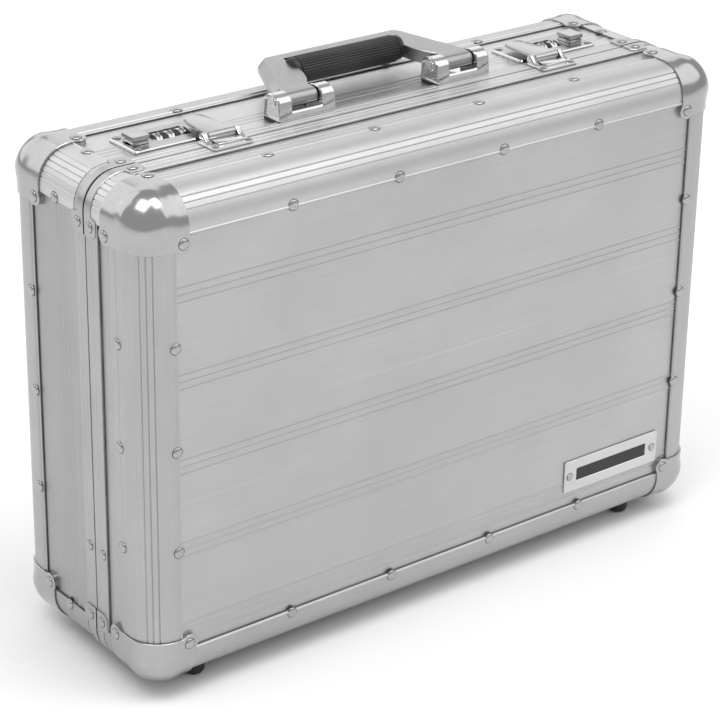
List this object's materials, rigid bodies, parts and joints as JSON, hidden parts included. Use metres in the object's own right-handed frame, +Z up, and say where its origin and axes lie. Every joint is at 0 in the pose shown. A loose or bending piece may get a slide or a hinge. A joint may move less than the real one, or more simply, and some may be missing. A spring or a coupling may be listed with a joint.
{
  "type": "attache case",
  "caption": "Hard aluminium carrying case with a lid hinged along the bottom, combination latches, a folding carry handle, ball corners and rubber feet.",
  "frame": {"origin": "centre of the footprint, on the surface the feet stand on", "axes": "+Z up as the closed case stands on its feet, +X along the case from its left to its right seen from the lid, +Y from the lid to the back panel"},
  "size_m": [0.463, 0.153, 0.3576],
  "materials": {
    "brushed_aluminium": "brushed along the profile, satin anodised",
    "panel_aluminium": "fine brushed sheet with narrow pressed ribs",
    "chrome": "polished nickel chrome",
    "satin_metal": "satin nickel",
    "stay_steel": "zinc plated",
    "black_rubber": "matt black rubber",
    "lining": "black napped lining on thin foam"
  },
  "bodies": {
    "root": {"back_panel": "panel_aluminium", "base_wall_top": "panel_aluminium", "base_wall_bottom": "panel_aluminium", "base_wall_left": "panel_aluminium", "base_wall_right": "panel_aluminium", "rear_edge_top": "brushed_aluminium", "rear_edge_bottom": "brushed_aluminium", "rear_edge_left": "brushed_aluminium", "rear_edge_right": "brushed_aluminium", "base_corner_edge_top_left": "brushed_aluminium", "base_corner_edge_top_right": "brushed_aluminium", "base_corner_edge_bottom_left": "brushed_aluminium", "base_corner_edge_bottom_right": "brushed_aluminium", "rear_corner_top_left": "chrome", "rear_corner_top_right": "chrome", "rear_corner_bottom_left": "chrome", "rear_corner_bottom_right": "chrome", "base_rim": "brushed_aluminium", "base_lining": "lining", "foot_rear_left": "black_rubber", "foot_rear_right": "black_rubber", "handle_base_left": "chrome", "handle_base_right": "chrome", "lock_body_left": "satin_metal", "lock_body_right": "satin_metal", "hinge_leaf_base": "stay_steel", "hinge_pin": "stay_steel"},
    "lid": {"front_panel": "panel_aluminium", "front_edge_top": "brushed_aluminium", "front_edge_bottom": "brushed_aluminium", "front_edge_left": "brushed_aluminium", "front_edge_right": "brushed_aluminium", "front_corner_top_left": "chrome", "front_corner_top_right": "chrome", "front_corner_bottom_left": "chrome", "front_corner_bottom_right": "chrome", "lid_frame": "brushed_aluminium", "lid_lining": "lining", "name_plate": "satin_metal", "foot_front_left": "black_rubber", "foot_front_right": "black_rubber", "hinge_leaf_lid": "stay_steel", "keeper_left": "chrome", "keeper_right": "chrome"},
    "handle": {"handle_frame": "satin_metal", "handle_grip": "black_rubber"},
    "hasp_left": {"hasp_left": "satin_metal"},
    "slider_left": {"slider_left": "satin_metal"},
    "dial_left_1": {"dial_left_1": "chrome"},
    "dial_left_2": {"dial_left_2": "chrome"},
    "dial_left_3": {"dial_left_3": "chrome"},
    "stay_arm_base_left": {"stay_arm_base_left": "stay_steel"},
    "stay_arm_lid_left": {"stay_arm_lid_left": "stay_steel"},
    "hasp_right": {"hasp_right": "satin_metal"},
    "slider_right": {"slider_right": "satin_metal"},
    "dial_right_1": {"dial_right_1": "chrome"},
    "dial_right_2": {"dial_right_2": "chrome"},
    "dial_right_3": {"dial_right_3": "chrome"},
    "stay_arm_base_right": {"stay_arm_base_right": "stay_steel"},
    "stay_arm_lid_right": {"stay_arm_lid_right": "stay_steel"}
  },
  "joints": [
    {"name": "lid_hinge", "type": "hinge", "parent": "root", "child": "lid", "pos_m": [0, -0.0167, 0.006], "axis": [1, 0, 0], "range_deg": [0, 95]},
    {"name": "handle_pivot", "type": "hinge", "parent": "root", "child": "handle", "pos_m": [0, 0.0005, 0.3445], "axis": [1, 0, 0], "range_deg": [0, 85]},
    {"name": "hasp_left_pivot", "type": "hinge", "parent": "lid", "child": "hasp_left", "pos_m": [-0.13, -0.011, 0.3382], "axis": [1, 0, 0], "range_deg": [0, 110]},
    {"name": "hasp_right_pivot", "type": "hinge", "parent": "lid", "child": "hasp_right", "pos_m": [0.13, -0.011, 0.3382], "axis": [1, 0, 0], "range_deg": [0, 110]},
    {"name": "slider_left_slide", "type": "slide", "parent": "root", "child": "slider_left", "axis": [-1, 0, 0], "range_m": [0, 0.004], "stiffness_N_per_m": 150, "springref_m": -0.002},
    {"name": "slider_right_slide", "type": "slide", "parent": "root", "child": "slider_right", "axis": [1, 0, 0], "range_m": [0, 0.004], "stiffness_N_per_m": 150, "springref_m": -0.002},
    {"name": "dial_left_1_turn", "type": "hinge", "parent": "root", "child": "dial_left_1", "pos_m": [-0.1413, 0.0156, 0.33], "axis": [1, 0, 0], "continuous": true},
    {"name": "dial_left_2_turn", "type": "hinge", "parent": "root", "child": "dial_left_2", "pos_m": [-0.15, 0.0156, 0.33], "axis": [1, 0, 0], "continuous": true},
    {"name": "dial_left_3_turn", "type": "hinge", "parent": "root", "child": "dial_left_3", "pos_m": [-0.1587, 0.0156, 0.33], "axis": [1, 0, 0], "continuous": true},
    {"name": "dial_right_1_turn", "type": "hinge", "parent": "root", "child": "dial_right_1", "pos_m": [0.1413, 0.0156, 0.33], "axis": [1, 0, 0], "continuous": true},
    {"name": "dial_right_2_turn", "type": "hinge", "parent": "root", "child": "dial_right_2", "pos_m": [0.15, 0.0156, 0.33], "axis": [1, 0, 0], "continuous": true},
    {"name": "dial_right_3_turn", "type": "hinge", "parent": "root", "child": "dial_right_3", "pos_m": [0.1587, 0.0156, 0.33], "axis": [1, 0, 0], "continuous": true},
    {"name": "stay_base_left_pivot", "type": "hinge", "parent": "root", "child": "stay_arm_base_left", "pos_m": [-0.2208, -0.01027, 0.08775], "axis": [1, 0, 0], "range_deg": [0, 95]},
    {"name": "stay_lid_left_pivot", "type": "hinge", "parent": "lid", "child": "stay_arm_lid_left", "pos_m": [-0.219, -0.02556, 0.08752], "axis": [1, 0, 0], "range_deg": [-95, 0]},
    {"name": "stay_base_right_pivot", "type": "hinge", "parent": "root", "child": "stay_arm_base_right", "pos_m": [0.2208, -0.01027, 0.08775], "axis": [1, 0, 0], "range_deg": [0, 95]},
    {"name": "stay_lid_right_pivot", "type": "hinge", "parent": "lid", "child": "stay_arm_lid_right", "pos_m": [0.219, -0.02556, 0.08752], "axis": [1, 0, 0], "range_deg": [-95, 0]}
  ],
  "couplings": [
    {"joint": "stay_base_left_pivot", "follows": "lid_hinge", "ratio": 1},
    {"joint": "stay_lid_left_pivot", "follows": "lid_hinge", "ratio": -1},
    {"joint": "stay_base_right_pivot", "follows": "lid_hinge", "ratio": 1},
    {"joint": "stay_lid_right_pivot", "follows": "lid_hinge", "ratio": -1}
  ]
}
